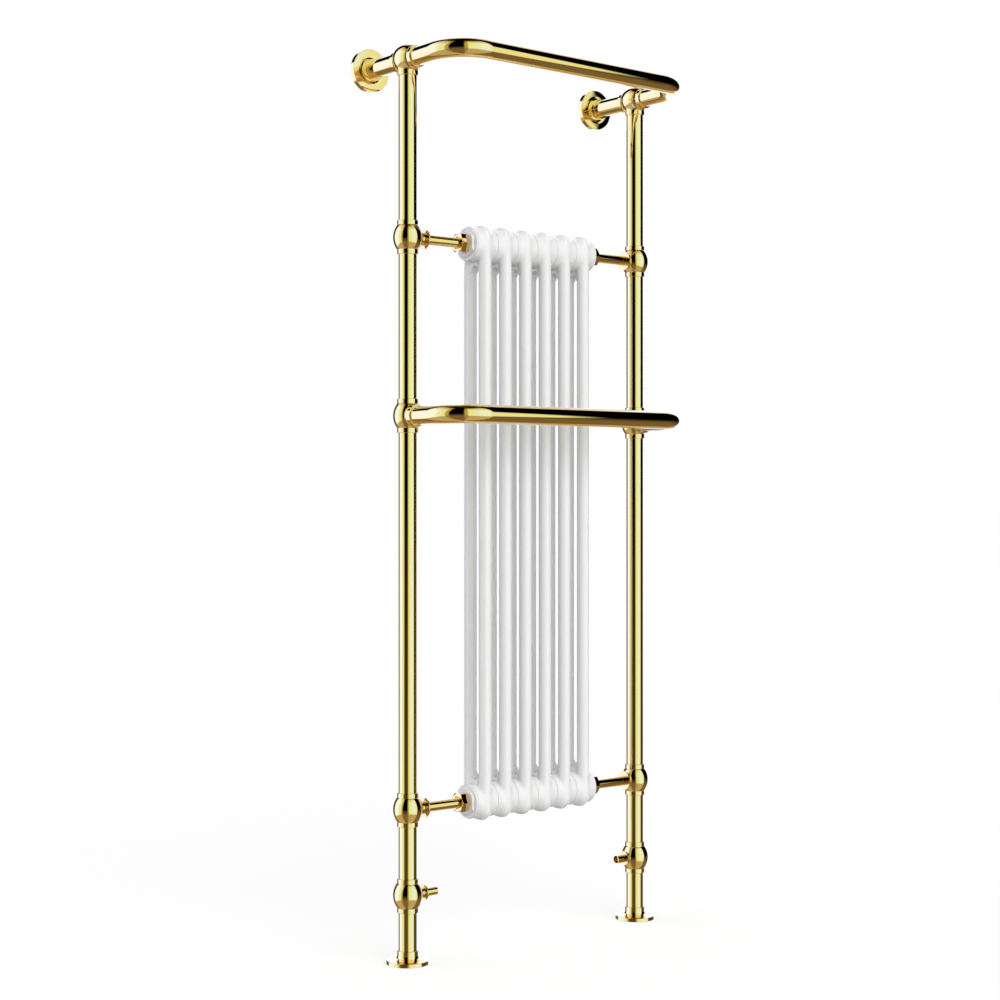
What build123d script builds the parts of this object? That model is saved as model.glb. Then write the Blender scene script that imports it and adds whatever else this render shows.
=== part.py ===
"""Floor-standing towel radiator: two brass ball-jointed posts with two towel hoops, and a white
two-column radiator hung between the posts. Millimetres, +Z up. The origin is on the floor, midway
between the posts in X and midway between the wall plane and the hoops' front in Y."""

import os

from build123d import *

os.makedirs("parts", exist_ok=True)

# Tube frame: 32 mm tube, two posts, hoops bent forwards to -Y, stays running back to the wall
post_spacing = 524.0
tube_radius = 16.0
tube_wall = 1.5
hoop_reach = 138.0
hoop_bend = 62.0
wall_reach = 118.0

# Heights of the ball centres above the floor
inlet_height = 115.0
lower_height = 260.0
middle_height = 926.0
upper_height = 1228.0
top_height = 1530.0

# Ball fittings: a barrel-shaped ball with a short neck at each end, and sockets for the tubes
ball_radius = 25.5
ball_half_length = 20.5
ball_end_step = 0.5
neck_radius = 18.5
neck_length = 8.3
neck_bevel = 0.7
socket_depth = 11.5
waterway_radius = 13.0
tube_clearance = 0.1

# Side bosses of the balls that feed the radiator or take the supply, and their round cover discs
link_pipe_radius = 9.0
link_pipe_wall = 1.0
link_boss_radius = 11.0
tail_radius = 7.5
tail_wall = 0.9
tail_shank_step = 0.3
tail_boss_radius = 9.2
boss_insert = 0.8
boss_socket_floor = 20.0
pipe_clearance = 0.1
left_collar_distance = 32.4
right_collar_distance = 27.4
link_collar_radius = 17.6
tail_collar_radius = 13.2
collar_thickness = 2.0
collar_edge = 0.3
left_tail_reach = 58.5
right_tail_reach = 47.5

# Radiator block: sections of two 22 mm columns, joined hub to hub
section_count = 6
section_hub_length = 44.8
section_gasket = 0.5
radiator_shift = 1.6
column_radius = 11.0
column_wall = 1.7
column_spacing = 41.0
head_rise = 22.5
head_bend = 11.0
hub_radius = 30.0
hub_swell = 0.6
hub_edge = 1.2
hub_bore_radius = 15.0
web_thickness = 15.0
slot_start = 42.0

# Pieces at the hubs: nipples, gaskets, end bushes, union washers and union nuts
nipple_wall = 2.4
nipple_length = 26.0
thread_clearance = 0.1
gasket_inset = 1.0
bush_collar_radius = 29.3
bush_collar_length = 2.4
bush_hex = 43.4
bush_hex_length = 4.5
bush_thread_length = 12.0
bush_bore_radius = 8.0
bush_nose_radius = 12.4
bush_nose_length = 9.0
washer_length = 1.5
pipe_flange_length = 2.0
nut_hex = 31.0
nut_length = 16.0
nut_bevel = 1.6
nut_countersink = 2.0
nut_gap = 0.2

# Floor flange and wall flange: turned covers over screwed-down fixing plates
flange_radius = 37.0
plate_radius = 31.0
plate_thickness = 3.0
plate_clearance = 0.2
plate_spigot_length = 14.0
plate_spigot_wall = 2.0
screw_hole_radius = 2.75
screw_circle_radius = 23.5
screw_count = 3
floor_disc_thickness = 6.5
floor_disc_round = 1.2
floor_waist_radius = 17.3
floor_waist_height = 1.8
floor_flare_radius = 20.0
floor_flare_height = 1.2
floor_flare_sweep = 4.2
floor_collar_radius = 18.3
floor_collar_top = 22.3
wall_rim_thickness = 6.0
wall_dome_radius = 24.5
wall_dome_height = 12.0
wall_dome_bulge = 1.9
wall_groove_radius = 20.2
wall_groove_depth = 2.6
wall_collar_radius = 18.5
wall_collar_length = 23.5

# Air vent: a plug in the right top ball with a square-headed bleed screw
vent_seat_radius = 8.6
vent_seat_reach = 26.6
vent_shank_radius = 4.0
vent_shank_length = 6.0
vent_hex = 13.0
vent_hex_length = 3.6
vent_nose_radius = 5.2
vent_nose_length = 2.6
vent_recess_radius = 3.9
vent_recess_depth = 3.4
bleed_spindle_radius = 2.2
bleed_clearance = 0.05
bleed_head = 5.0
bleed_head_length = 4.2
bleed_seat_gap = 0.2
bleed_tip_gap = 0.5

# Places worked out from the sizes above
post_x = post_spacing / 2
post_y = (hoop_reach + tube_radius - wall_reach) / 2
neck_reach = ball_half_length + neck_length
socket_floor = neck_reach - socket_depth
tube_bore = tube_radius - tube_wall
tail_shank_radius = tail_radius - tail_shank_step
tail_bore = tail_radius - tail_wall
link_pipe_bore = link_pipe_radius - link_pipe_wall
section_pitch = section_hub_length + section_gasket
block_half = (section_count * section_pitch - section_gasket) / 2
hub_heights = (lower_height, upper_height)
sides = (("left", -1, left_collar_distance), ("right", 1, right_collar_distance))
UP = Vector(0, 0, 1)
DOWN = Vector(0, 0, -1)
FRONT = Vector(0, -1, 0)
BACK = Vector(0, 1, 0)


def write(piece, name):
    """Labels a finished piece and writes it under its name."""
    piece.part.label = name
    export_step(piece.part, f"parts/{name}.step")


def profile_plane(origin, axis):
    """Plane through an axis: local x runs out from the axis, local y runs along it."""
    radial = Vector(0, 0, 1) if abs(axis.X) > 0.5 else Vector(1, 0, 0)
    return Plane(origin=origin, x_dir=radial, z_dir=radial.cross(axis))


def straight_tube(start, direction, length, radius, wall):
    """A round tube along one straight line."""
    with BuildPart() as tube:
        with BuildSketch(Plane(origin=start, z_dir=direction)):
            Circle(radius)
            Circle(radius - wall, mode=Mode.SUBTRACT)
        extrude(amount=length)
    return tube


def ball_fitting(centre, axis, branch=None, boss=None, vent=None):
    """Barrel ball with a neck and a tube socket at each end of its axis. A branch is a third neck,
    a vent is the direction of a vent seat, and a boss is a side pipe socket: its direction, radius,
    reach, the radius of the pipe in it and the radius of the waterway behind the pipe."""
    openings = [axis, axis * -1] + ([branch] if branch else [])
    ball_end = neck_radius + ball_end_step
    with BuildPart() as ball:
        with BuildSketch(profile_plane(centre, axis)):
            with BuildLine():
                Polyline((ball_end, ball_half_length), (neck_radius, ball_half_length),
                         (neck_radius, neck_reach - neck_bevel), (neck_radius - neck_bevel, neck_reach),
                         (0, neck_reach), (0, -neck_reach), (neck_radius - neck_bevel, -neck_reach),
                         (neck_radius, neck_bevel - neck_reach), (neck_radius, -ball_half_length),
                         (ball_end, -ball_half_length))
                ThreePointArc((ball_end, -ball_half_length), (ball_radius, 0), (ball_end, ball_half_length))
            make_face()
        revolve(axis=Axis(centre, axis))
        if branch:
            with BuildSketch(Plane(origin=centre, z_dir=branch)):
                Circle(neck_radius)
            extrude(amount=neck_reach)
        if boss:
            boss_direction, boss_radius, boss_reach, pipe_radius, pipe_bore = boss
            with BuildSketch(Plane(origin=centre, z_dir=boss_direction)):
                Circle(boss_radius)
            extrude(amount=boss_reach)
            with BuildSketch(Plane(origin=centre + boss_direction * boss_socket_floor, z_dir=boss_direction)):
                Circle(pipe_radius + pipe_clearance)
            extrude(amount=boss_reach - boss_socket_floor, mode=Mode.SUBTRACT)
            with BuildSketch(Plane(origin=centre, z_dir=boss_direction)):
                Circle(pipe_bore)
            extrude(amount=boss_socket_floor, mode=Mode.SUBTRACT)
        if vent:
            with BuildSketch(Plane(origin=centre, z_dir=vent)):
                Circle(vent_seat_radius)
            extrude(amount=vent_seat_reach)
            with BuildSketch(Plane(origin=centre, z_dir=vent)):
                Circle(vent_shank_radius + thread_clearance)
            extrude(amount=vent_seat_reach, mode=Mode.SUBTRACT)
        for opening in openings:
            with BuildSketch(Plane(origin=centre, z_dir=opening)):
                Circle(waterway_radius)
            extrude(amount=socket_floor, mode=Mode.SUBTRACT)
            with BuildSketch(Plane(origin=centre + opening * socket_floor, z_dir=opening)):
                Circle(tube_radius + tube_clearance)
            extrude(amount=socket_depth, mode=Mode.SUBTRACT)
    return ball


def cover_disc(start, direction, radius, pipe_radius, boss_radius):
    """Flat round cover on a pipe: the end of the ball's boss sits in a shallow seat in its back."""
    bore = pipe_radius + pipe_clearance
    seat = boss_radius + pipe_clearance
    seat_depth = boss_insert + pipe_clearance
    with BuildPart() as collar:
        with BuildSketch(profile_plane(start, direction)):
            with BuildLine():
                Polyline((seat, 0), (radius - collar_edge, 0), (radius, collar_edge),
                         (radius, collar_thickness - collar_edge), (radius - collar_edge, collar_thickness),
                         (bore, collar_thickness), (bore, seat_depth), (seat, seat_depth), close=True)
            make_face()
        revolve(axis=Axis(start, direction))
    return collar


def towel_hoop(height):
    """Hoop bent from one tube: back ends in the balls' front sockets, bar across the front."""
    back_y = post_y - socket_floor
    front_y = post_y - hoop_reach
    with BuildPart() as hoop:
        with BuildLine():
            FilletPolyline((-post_x, back_y, height), (-post_x, front_y, height),
                           (post_x, front_y, height), (post_x, back_y, height), radius=hoop_bend)
        with BuildSketch(Plane(origin=(-post_x, back_y, height), z_dir=FRONT)):
            Circle(tube_radius)
            Circle(tube_bore, mode=Mode.SUBTRACT)
        sweep()
    return hoop


def radiator_section(x):
    """Two columns bent together over round hubs: a closed loop of tube, a hub drum at each end with
    its bore, and a web between the columns under each hub that ends in the slot's round arch."""
    half_width = column_spacing / 2
    top = upper_height + head_rise
    bottom = lower_height - head_rise
    arch_radius = half_width - column_radius
    with BuildPart() as section:
        with BuildLine(Plane(origin=(x, post_y, 0), x_dir=(0, 1, 0), z_dir=(1, 0, 0))):
            Line((-half_width, bottom + head_bend), (-half_width, top - head_bend))
            JernArc((-half_width, top - head_bend), (0, 1), head_bend, -90)
            Line((head_bend - half_width, top), (half_width - head_bend, top))
            JernArc((half_width - head_bend, top), (1, 0), head_bend, -90)
            Line((half_width, top - head_bend), (half_width, bottom + head_bend))
            JernArc((half_width, bottom + head_bend), (0, -1), head_bend, -90)
            Line((half_width - head_bend, bottom), (head_bend - half_width, bottom))
            JernArc((head_bend - half_width, bottom), (-1, 0), head_bend, -90)
        with BuildSketch(Plane(origin=(x, post_y - half_width, bottom + head_bend), z_dir=UP)):
            Circle(column_radius)
        sweep()
        for hub_height, inward in ((lower_height, 1), (upper_height, -1)):
            hub_centre = Vector(x, post_y, hub_height)
            with BuildSketch(Plane(origin=hub_centre, x_dir=(0, 1, 0), z_dir=(1, 0, 0))):
                with Locations((0, inward * (slot_start + arch_radius) / 2)):
                    Rectangle(column_spacing, slot_start + arch_radius)
                with Locations((0, inward * (slot_start + arch_radius))):
                    Circle(arch_radius, mode=Mode.SUBTRACT)
            extrude(amount=web_thickness / 2, both=True)
            with BuildSketch(profile_plane(hub_centre, Vector(1, 0, 0))):
                with BuildLine():
                    Polyline((hub_radius - hub_edge, section_hub_length / 2), (0, section_hub_length / 2),
                             (0, -section_hub_length / 2), (hub_radius - hub_edge, -section_hub_length / 2),
                             (hub_radius, hub_edge - section_hub_length / 2))
                    ThreePointArc((hub_radius, hub_edge - section_hub_length / 2),
                                  (hub_radius + hub_swell, 0),
                                  (hub_radius, section_hub_length / 2 - hub_edge))
                    Line((hub_radius, section_hub_length / 2 - hub_edge),
                         (hub_radius - hub_edge, section_hub_length / 2))
                make_face()
            revolve(axis=Axis(hub_centre, (1, 0, 0)))
        for column_y in (post_y - half_width, post_y + half_width):
            with BuildSketch(Plane(origin=(x, column_y, lower_height), z_dir=UP)):
                Circle(column_radius - column_wall)
            extrude(amount=upper_height - lower_height, mode=Mode.SUBTRACT)
        for hub_height in hub_heights:
            with BuildSketch(Plane(origin=(x, post_y, hub_height), z_dir=(1, 0, 0))):
                Circle(hub_bore_radius)
            extrude(amount=section_hub_length / 2, both=True, mode=Mode.SUBTRACT)
    return section


def fixing_plate(centre, direction):
    """Screwed-down disc with a spigot that the tube slides over and three screw holes."""
    with BuildPart() as plate:
        with BuildSketch(Plane(origin=centre, z_dir=direction)):
            Circle(plate_radius)
            with PolarLocations(screw_circle_radius, screw_count):
                Circle(screw_hole_radius, mode=Mode.SUBTRACT)
        extrude(amount=plate_thickness)
        with BuildSketch(Plane(origin=centre, z_dir=direction)):
            Circle(tube_bore - tube_clearance)
        extrude(amount=plate_thickness + plate_spigot_length)
        with BuildSketch(Plane(origin=centre, z_dir=direction)):
            Circle(tube_bore - tube_clearance - plate_spigot_wall)
        extrude(amount=plate_thickness + plate_spigot_length, mode=Mode.SUBTRACT)
    return plate


# Posts: tubes between the balls, from the floor plate up to the top ball
ball_heights = (inlet_height, lower_height, middle_height, upper_height, top_height)
tube_names = ("foot_tube", "lower_tube", "middle_tube", "upper_tube", "top_tube")
for side, sign, collar_distance in sides:
    bottom = plate_thickness
    for tube_name, ball_height in zip(tube_names, ball_heights):
        tube_start = Vector(sign * post_x, post_y, bottom)
        tube_length = ball_height - socket_floor - bottom
        write(straight_tube(tube_start, UP, tube_length, tube_radius, tube_wall), f"{side}_{tube_name}")
        bottom = ball_height + socket_floor

# Ball fittings of each post
for side, sign, collar_distance in sides:
    inward = Vector(-sign, 0, 0)
    boss_reach = collar_distance + boss_insert
    tail_boss = (inward, tail_boss_radius, boss_reach, tail_shank_radius, tail_bore)
    link_boss = (inward, link_boss_radius, boss_reach, link_pipe_radius, link_pipe_bore)
    vent = Vector(1, 0, 0) if side == "right" else None
    write(ball_fitting(Vector(sign * post_x, post_y, inlet_height), UP, boss=tail_boss), f"{side}_inlet_ball")
    write(ball_fitting(Vector(sign * post_x, post_y, lower_height), UP, boss=link_boss), f"{side}_lower_ball")
    write(ball_fitting(Vector(sign * post_x, post_y, middle_height), UP, branch=FRONT),
          f"{side}_middle_ball")
    write(ball_fitting(Vector(sign * post_x, post_y, upper_height), UP, boss=link_boss), f"{side}_upper_ball")
    write(ball_fitting(Vector(sign * post_x, post_y, top_height), BACK, branch=DOWN, vent=vent),
          f"{side}_top_ball")

# Towel hoops
write(towel_hoop(middle_height), "middle_hoop")
write(towel_hoop(top_height), "top_hoop")

# Supply tails: a pipe stub with a turned-down shank in each inlet ball, and its cover disc
for (side, sign, collar_distance), tail_reach in zip(sides, (left_tail_reach, right_tail_reach)):
    inward = Vector(-sign, 0, 0)
    inlet_centre = Vector(sign * post_x, post_y, inlet_height)
    shank_start = inlet_centre + inward * boss_socket_floor
    shank_length = collar_distance + collar_thickness - boss_socket_floor
    tail_length = tail_reach - boss_socket_floor - shank_length
    with BuildPart() as inlet_tail:
        with BuildSketch(Plane(origin=shank_start, z_dir=inward)):
            Circle(tail_shank_radius)
        extrude(amount=shank_length)
        with BuildSketch(Plane(origin=shank_start + inward * shank_length, z_dir=inward)):
            Circle(tail_radius)
        extrude(amount=tail_length)
        with BuildSketch(Plane(origin=shank_start, z_dir=inward)):
            Circle(tail_bore)
        extrude(amount=shank_length + tail_length, mode=Mode.SUBTRACT)
    write(inlet_tail, f"{side}_inlet_tail")
    inlet_collar = cover_disc(inlet_centre + inward * collar_distance, inward, tail_collar_radius,
                              tail_shank_radius, tail_boss_radius)
    write(inlet_collar, f"{side}_inlet_collar")

# Radiator sections, left to right
first_section_x = radiator_shift - (section_count - 1) * section_pitch / 2
section_places = [first_section_x + index * section_pitch for index in range(section_count)]
for number, section_x in enumerate(section_places, start=1):
    write(radiator_section(section_x), f"radiator_section_{number}")

# Nipples and gaskets in the seams between sections, at both hubs
seams = [(x + section_pitch / 2, height) for x in section_places[:-1] for height in hub_heights]
with BuildPart() as section_nipples:
    for seam_x, seam_height in seams:
        with BuildSketch(Plane(origin=(seam_x - nipple_length / 2, post_y, seam_height), z_dir=(1, 0, 0))):
            Circle(hub_bore_radius - thread_clearance)
            Circle(hub_bore_radius - thread_clearance - nipple_wall, mode=Mode.SUBTRACT)
        extrude(amount=nipple_length)
write(section_nipples, "section_nipples")

with BuildPart() as section_gaskets:
    for seam_x, seam_height in seams:
        with BuildSketch(Plane(origin=(seam_x - section_gasket / 2, post_y, seam_height), z_dir=(1, 0, 0))):
            Circle(hub_radius - hub_edge - gasket_inset)
            Circle(hub_bore_radius + gasket_inset, mode=Mode.SUBTRACT)
        extrude(amount=section_gasket)
write(section_gaskets, "section_gaskets")

# Unions at the four ends of the block: bush, washer, nut, and the link pipe with its flanged end
bush_face = block_half + bush_collar_length + bush_hex_length
nose_end = bush_face + bush_nose_length
flange_face = nose_end + washer_length + pipe_flange_length
nut_start = bush_face + nut_gap
unions = [(sign, height) for sign in (-1, 1) for height in hub_heights]

with BuildPart() as end_bushes:
    for sign, height in unions:
        outward = Vector(sign, 0, 0)
        hub_centre = Vector(radiator_shift, post_y, height)
        with BuildSketch(Plane(origin=hub_centre + outward * (block_half - bush_thread_length),
                               z_dir=outward)):
            Circle(hub_bore_radius - thread_clearance)
        extrude(amount=bush_thread_length)
        with BuildSketch(Plane(origin=hub_centre + outward * block_half, z_dir=outward)):
            Circle(bush_collar_radius)
        extrude(amount=bush_collar_length)
        with BuildSketch(Plane(origin=hub_centre + outward * (block_half + bush_collar_length),
                               x_dir=(0, 0, 1), z_dir=outward)):
            RegularPolygon(radius=bush_hex / 2, side_count=6, major_radius=False)
        extrude(amount=bush_hex_length)
        with BuildSketch(Plane(origin=hub_centre + outward * bush_face, z_dir=outward)):
            Circle(bush_nose_radius)
        extrude(amount=bush_nose_length)
        with BuildSketch(Plane(origin=hub_centre + outward * (block_half - bush_thread_length),
                               z_dir=outward)):
            Circle(bush_bore_radius)
        extrude(amount=nose_end - block_half + bush_thread_length, mode=Mode.SUBTRACT)
write(end_bushes, "end_bushes")

with BuildPart() as union_washers:
    for sign, height in unions:
        with BuildSketch(Plane(origin=(radiator_shift + sign * nose_end, post_y, height),
                               z_dir=(sign, 0, 0))):
            Circle(bush_nose_radius - thread_clearance)
            Circle(bush_bore_radius, mode=Mode.SUBTRACT)
        extrude(amount=washer_length)
write(union_washers, "union_washers")

with BuildPart() as union_nuts:
    for sign, height in unions:
        outward = Vector(sign, 0, 0)
        nut_origin = Vector(radiator_shift + sign * nut_start, post_y, height)
        corner = nut_hex / 3 ** 0.5
        with BuildSketch(Plane(origin=nut_origin, x_dir=(0, 1, 0), z_dir=outward)):
            RegularPolygon(radius=nut_hex / 2, side_count=6, major_radius=False)
        extrude(amount=nut_length)
        with BuildSketch(Plane(origin=nut_origin, z_dir=outward)):
            Circle(bush_nose_radius + thread_clearance)
        extrude(amount=flange_face - nut_start + pipe_clearance, mode=Mode.SUBTRACT)
        with BuildSketch(Plane(origin=nut_origin, z_dir=outward)):
            Circle(link_pipe_radius + pipe_clearance)
        extrude(amount=nut_length, mode=Mode.SUBTRACT)
        with BuildSketch(profile_plane(nut_origin, outward)):
            with BuildLine():
                Polyline((0, nut_length), (link_pipe_radius + nut_countersink, nut_length),
                         (link_pipe_radius, nut_length - nut_countersink), (0, nut_length - nut_countersink),
                         close=True)
            make_face()
            with BuildLine():
                Polyline((corner + nut_bevel, nut_length), (corner + nut_bevel, nut_length - nut_bevel),
                         (corner, nut_length - nut_bevel), (corner - 2 * nut_bevel, nut_length), close=True)
            make_face()
        revolve(axis=Axis(nut_origin, outward), mode=Mode.SUBTRACT)
write(union_nuts, "union_nuts")

for side, sign, collar_distance in sides:
    for level, height in zip(("lower", "upper"), hub_heights):
        ball_centre = Vector(sign * post_x, post_y, height)
        inward = Vector(-sign, 0, 0)
        pipe_start = ball_centre + inward * boss_socket_floor
        pipe_end_x = radiator_shift + sign * (nose_end + washer_length)
        pipe_length = abs(pipe_end_x - pipe_start.X)
        with BuildPart() as link_pipe:
            with BuildSketch(Plane(origin=pipe_start, z_dir=inward)):
                Circle(link_pipe_radius)
            extrude(amount=pipe_length)
            with BuildSketch(Plane(origin=pipe_start + inward * (pipe_length - pipe_flange_length),
                                   z_dir=inward)):
                Circle(bush_nose_radius - thread_clearance)
            extrude(amount=pipe_flange_length)
            with BuildSketch(Plane(origin=pipe_start, z_dir=inward)):
                Circle(link_pipe_bore)
            extrude(amount=pipe_length, mode=Mode.SUBTRACT)
        write(link_pipe, f"{side}_{level}_link_pipe")
        write(cover_disc(ball_centre + inward * collar_distance, inward, link_collar_radius,
                         link_pipe_radius, link_boss_radius),
              f"{side}_{level}_link_collar")

# Floor: fixing plate, and the turned cover with its flared collar
floor_flare_start = floor_disc_thickness + floor_waist_height
floor_flare_top = floor_flare_start + floor_flare_height
for side, sign, collar_distance in sides:
    foot_centre = Vector(sign * post_x, post_y, 0)
    write(fixing_plate(foot_centre, UP), f"{side}_floor_plate")
    with BuildPart() as floor_flange:
        with BuildSketch(profile_plane(foot_centre, UP)):
            with BuildLine():
                bore = tube_radius + tube_clearance
                recess = plate_radius + plate_clearance
                recess_top = plate_thickness + plate_clearance
                Polyline((floor_collar_radius, floor_flare_top + floor_flare_sweep),
                         (floor_collar_radius, floor_collar_top), (bore, floor_collar_top),
                         (bore, recess_top), (recess, recess_top), (recess, 0), (flange_radius, 0),
                         (flange_radius, floor_disc_thickness - floor_disc_round),
                         (flange_radius - floor_disc_round, floor_disc_thickness),
                         (floor_waist_radius, floor_disc_thickness),
                         (floor_waist_radius, floor_flare_start), (floor_flare_radius, floor_flare_top))
                RadiusArc((floor_flare_radius, floor_flare_top),
                          (floor_collar_radius, floor_flare_top + floor_flare_sweep),
                          2 * floor_flare_sweep)
            make_face()
        revolve(axis=Axis(foot_centre, UP))
    write(floor_flange, f"{side}_floor_flange")

# Wall: stay tube, fixing plate, and the turned cover with its domed face
for side, sign, collar_distance in sides:
    wall_centre = Vector(sign * post_x, post_y + wall_reach, top_height)
    stay_start = Vector(sign * post_x, post_y + socket_floor, top_height)
    stay_length = wall_reach - plate_thickness - socket_floor
    write(straight_tube(stay_start, BACK, stay_length, tube_radius, tube_wall), f"{side}_wall_stay")
    write(fixing_plate(wall_centre, FRONT), f"{side}_wall_plate")
    with BuildPart() as wall_flange:
        with BuildSketch(profile_plane(wall_centre, FRONT)):
            with BuildLine():
                bore = tube_radius + tube_clearance
                recess = plate_radius + plate_clearance
                recess_top = plate_thickness + plate_clearance
                dome_middle = ((flange_radius + wall_dome_radius) / 2 + wall_dome_bulge,
                               (wall_rim_thickness + wall_dome_height) / 2 + wall_dome_bulge)
                Polyline((wall_dome_radius, wall_dome_height), (wall_groove_radius, wall_dome_height),
                         (wall_groove_radius, wall_dome_height - wall_groove_depth),
                         (wall_collar_radius, wall_dome_height - wall_groove_depth),
                         (wall_collar_radius, wall_collar_length), (bore, wall_collar_length),
                         (bore, recess_top), (recess, recess_top), (recess, 0), (flange_radius, 0),
                         (flange_radius, wall_rim_thickness))
                ThreePointArc((flange_radius, wall_rim_thickness), dome_middle,
                              (wall_dome_radius, wall_dome_height))
            make_face()
        revolve(axis=Axis(wall_centre, FRONT))
    write(wall_flange, f"{side}_wall_flange")

# Air vent on the right top ball: plug body with a recessed face, and the bleed screw in it
vent_origin = Vector(post_x + vent_seat_reach, post_y, top_height)
vent_face = vent_hex_length + vent_nose_length
with BuildPart() as air_vent_body:
    with BuildSketch(Plane(origin=vent_origin - Vector(vent_shank_length, 0, 0), z_dir=(1, 0, 0))):
        Circle(vent_shank_radius)
    extrude(amount=vent_shank_length)
    with BuildSketch(Plane(origin=vent_origin, z_dir=(1, 0, 0))):
        RegularPolygon(radius=vent_hex / 2, side_count=6, major_radius=False)
    extrude(amount=vent_hex_length)
    with BuildSketch(Plane(origin=vent_origin, z_dir=(1, 0, 0))):
        Circle(vent_nose_radius)
    extrude(amount=vent_face)
    with BuildSketch(Plane(origin=vent_origin - Vector(vent_shank_length, 0, 0), z_dir=(1, 0, 0))):
        Circle(bleed_spindle_radius + bleed_clearance)
    extrude(amount=vent_shank_length + vent_face, mode=Mode.SUBTRACT)
    with BuildSketch(Plane(origin=vent_origin + Vector(vent_face - vent_recess_depth, 0, 0), z_dir=(1, 0, 0))):
        Circle(vent_recess_radius)
    extrude(amount=vent_recess_depth, mode=Mode.SUBTRACT)
write(air_vent_body, "air_vent_body")

bleed_head_start = vent_face - vent_recess_depth + bleed_seat_gap
bleed_tip = bleed_tip_gap - vent_shank_length
with BuildPart() as bleed_screw:
    with BuildSketch(Plane(origin=vent_origin + Vector(bleed_tip, 0, 0), z_dir=(1, 0, 0))):
        Circle(bleed_spindle_radius)
    extrude(amount=bleed_head_start - bleed_tip)
    with BuildSketch(Plane(origin=vent_origin + Vector(bleed_head_start, 0, 0), z_dir=(1, 0, 0))):
        Rectangle(bleed_head, bleed_head)
    extrude(amount=bleed_head_length)
write(bleed_screw, "bleed_screw")
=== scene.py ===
"""Looks of the floor-standing towel radiator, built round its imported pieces: polished brass posts and
hoops, a white enamelled column radiator between them, and the studio that they are photographed in."""

import math

import bpy
import numpy as np
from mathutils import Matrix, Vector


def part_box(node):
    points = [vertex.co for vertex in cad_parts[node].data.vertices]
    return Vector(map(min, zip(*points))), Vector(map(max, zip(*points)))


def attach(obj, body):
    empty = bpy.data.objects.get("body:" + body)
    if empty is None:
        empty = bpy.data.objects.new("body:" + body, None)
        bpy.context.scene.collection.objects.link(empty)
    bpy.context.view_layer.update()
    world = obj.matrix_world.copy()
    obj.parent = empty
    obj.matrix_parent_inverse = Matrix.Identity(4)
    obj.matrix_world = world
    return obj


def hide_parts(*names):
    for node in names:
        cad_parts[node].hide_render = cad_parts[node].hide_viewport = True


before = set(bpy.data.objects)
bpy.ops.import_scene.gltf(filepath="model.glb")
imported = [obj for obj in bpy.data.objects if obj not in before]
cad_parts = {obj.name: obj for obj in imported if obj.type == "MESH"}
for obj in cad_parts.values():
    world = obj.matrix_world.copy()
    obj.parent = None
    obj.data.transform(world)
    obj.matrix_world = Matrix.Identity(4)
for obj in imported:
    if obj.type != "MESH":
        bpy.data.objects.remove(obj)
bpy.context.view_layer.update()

# The camera stands to the left of the radiator at chest height and looks level past it, so the posts
# stay upright in the picture. Its place was found from the posts, the balls and the hoops.
camera_place = (-2.0788, -2.4905, 0.797)
camera_turn = 38.8
camera_lens = 65.77
camera_shift = -0.00783
camera = bpy.data.objects.new("camera", bpy.data.cameras.new("camera"))
camera.location = camera_place
camera.rotation_euler = (math.radians(90), 0, math.radians(-camera_turn))
camera.data.sensor_width = 36
camera.data.lens = camera_lens
camera.data.shift_y = camera_shift
bpy.context.scene.collection.objects.link(camera)
bpy.context.scene.camera = camera
bpy.context.scene.view_settings.view_transform = "Standard"


# Polished brass. Every visible metal piece is brass, ground and buffed to a mirror, so its colour is
# all reflection: a pale yellow body colour with a faint unevenness left by the buffing wheel.
class Reading:
    """A value on one socket of a finish's node tree. Sums, products and the like add Math nodes."""

    def __init__(self, tree, socket=None):
        self.tree = tree
        self.socket = socket

    def node(self, kind, settings, sockets, output=0):
        """Adds a node to the tree: its type, its settings, such as a ramp's stops, then the values or
        links of its sockets, and gives back the reading on one of its outputs."""
        made = self.tree.nodes.new(kind)
        for name, value in settings.items():
            if name == "stops":
                for place, (position, colour) in enumerate(value):
                    stop = made.color_ramp.elements.new(position) if place else made.color_ramp.elements[0]
                    stop.position, stop.color = position, (*colour, 1)
                made.color_ramp.elements.remove(made.color_ramp.elements[-1])
            else:
                setattr(made, name, value)
        for name, value in sockets.items():
            if isinstance(value, Reading):
                self.tree.links.new(value.socket, made.inputs[name])
            else:
                made.inputs[name].default_value = value
        return Reading(self.tree, made.outputs[output] if made.outputs else None)

    def worked(self, operation, *values):
        return self.node("ShaderNodeMath", {"operation": operation}, dict(enumerate(values)))

    def mixed(self, share, first, second):
        """A colour that goes from the first to the second as the share goes from 0 to 1."""
        return self.node("ShaderNodeMix", {"data_type": "RGBA"}, {0: share, 6: first, 7: second}, 2)

    def __add__(self, other):
        return self.worked("ADD", self, other)

    def __sub__(self, other):
        return self.worked("SUBTRACT", self, other)

    def __rsub__(self, other):
        return self.worked("SUBTRACT", other, self)

    def __mul__(self, other):
        return self.worked("MULTIPLY", self, other)

    __radd__ = __add__
    __rmul__ = __mul__


def fresh_tree(owner):
    """Empties the node tree of a material or of the surroundings and starts reading it."""
    owner.use_nodes = True
    owner.node_tree.nodes.clear()
    return Reading(owner.node_tree)


def noise(tree, scale, detail=2.0):
    """Noise that stays on the piece: it is read from the piece's own coordinates."""
    place = tree.node("ShaderNodeTexCoord", {}, {}, 3)
    return tree.node("ShaderNodeTexNoise", {}, {"Vector": place, "Scale": scale, "Detail": detail})


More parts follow.
